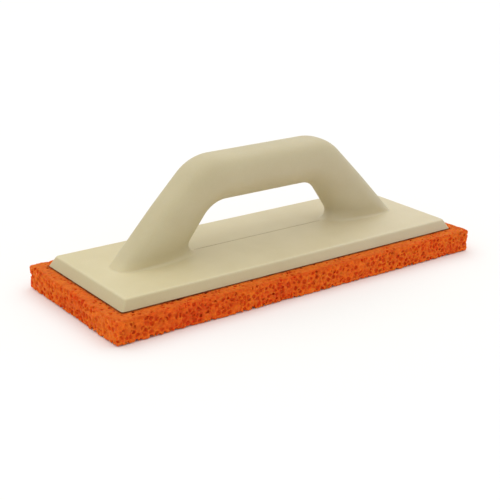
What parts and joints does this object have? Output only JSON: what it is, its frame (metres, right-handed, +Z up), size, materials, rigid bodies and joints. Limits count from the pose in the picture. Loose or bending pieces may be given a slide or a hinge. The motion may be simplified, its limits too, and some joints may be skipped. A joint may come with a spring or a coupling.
{
  "type": "sponge hand float",
  "caption": "Rectangular hand float: cream plastic plate with bevelled edges and a closed bridge handle, glued on a wider slab of coarse orange sponge rubber.",
  "frame": {"origin": "centre of the sponge's flat working face, which is also the centre of the object's base", "axes": "+X along the float and along the grip, +Y across the float, +Z up from the working face through the handle"},
  "size_m": [0.28, 0.11, 0.0843],
  "materials": {
    "moulded_body": "smooth rigid foam moulding, cream, semi-matt",
    "sponge_rubber": "coarse open-cell sponge rubber, orange",
    "contact_adhesive": "thin brushed contact adhesive, amber brown"
  },
  "bodies": {
    "root": {"sponge_pad": "sponge_rubber", "adhesive_film": "contact_adhesive", "backing_plate": "moulded_body", "handle": "moulded_body"}
  },
  "joints": []
}
